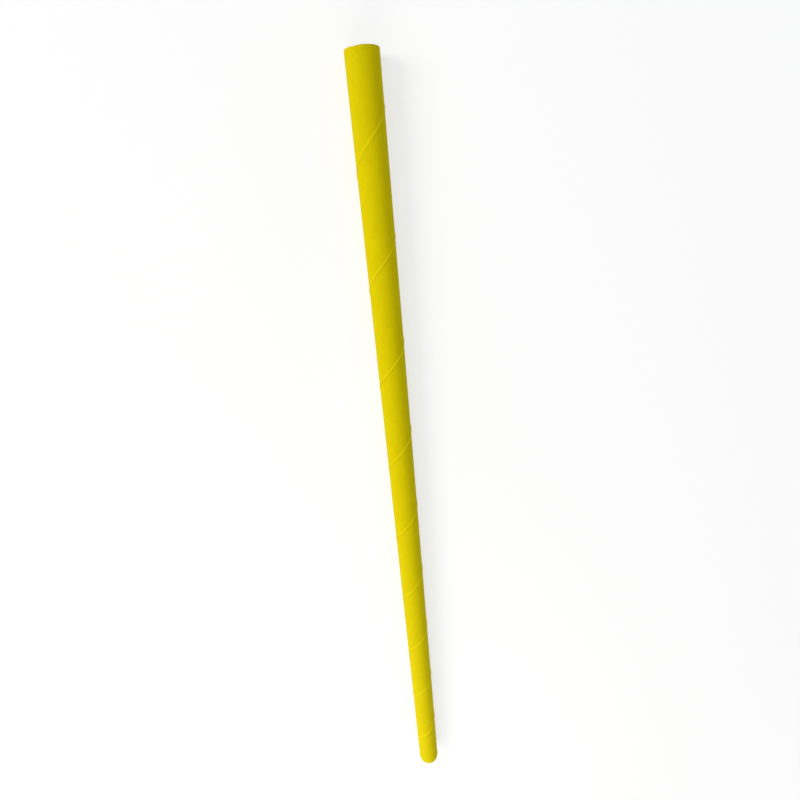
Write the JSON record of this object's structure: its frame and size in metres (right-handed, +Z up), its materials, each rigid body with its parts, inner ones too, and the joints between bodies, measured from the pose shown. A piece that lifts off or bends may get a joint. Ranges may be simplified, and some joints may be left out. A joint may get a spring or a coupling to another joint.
{
  "type": "paper drinking straw",
  "caption": "Straight spirally wound paper drinking straw, a thin round tube open at both square-cut ends, with a fine slanting seam.",
  "frame": {"origin": "on the surface the straw lies on, straight under the middle of its length", "axes": "+Y along the straw towards its top end, the end that stands up in a jar or is drunk from; +Z up from the surface"},
  "size_m": [0.006, 0.197, 0.0061],
  "materials": {
    "yellow_paper": "matte"
  },
  "bodies": {
    "root": {"straw": "yellow_paper"}
  },
  "joints": []
}
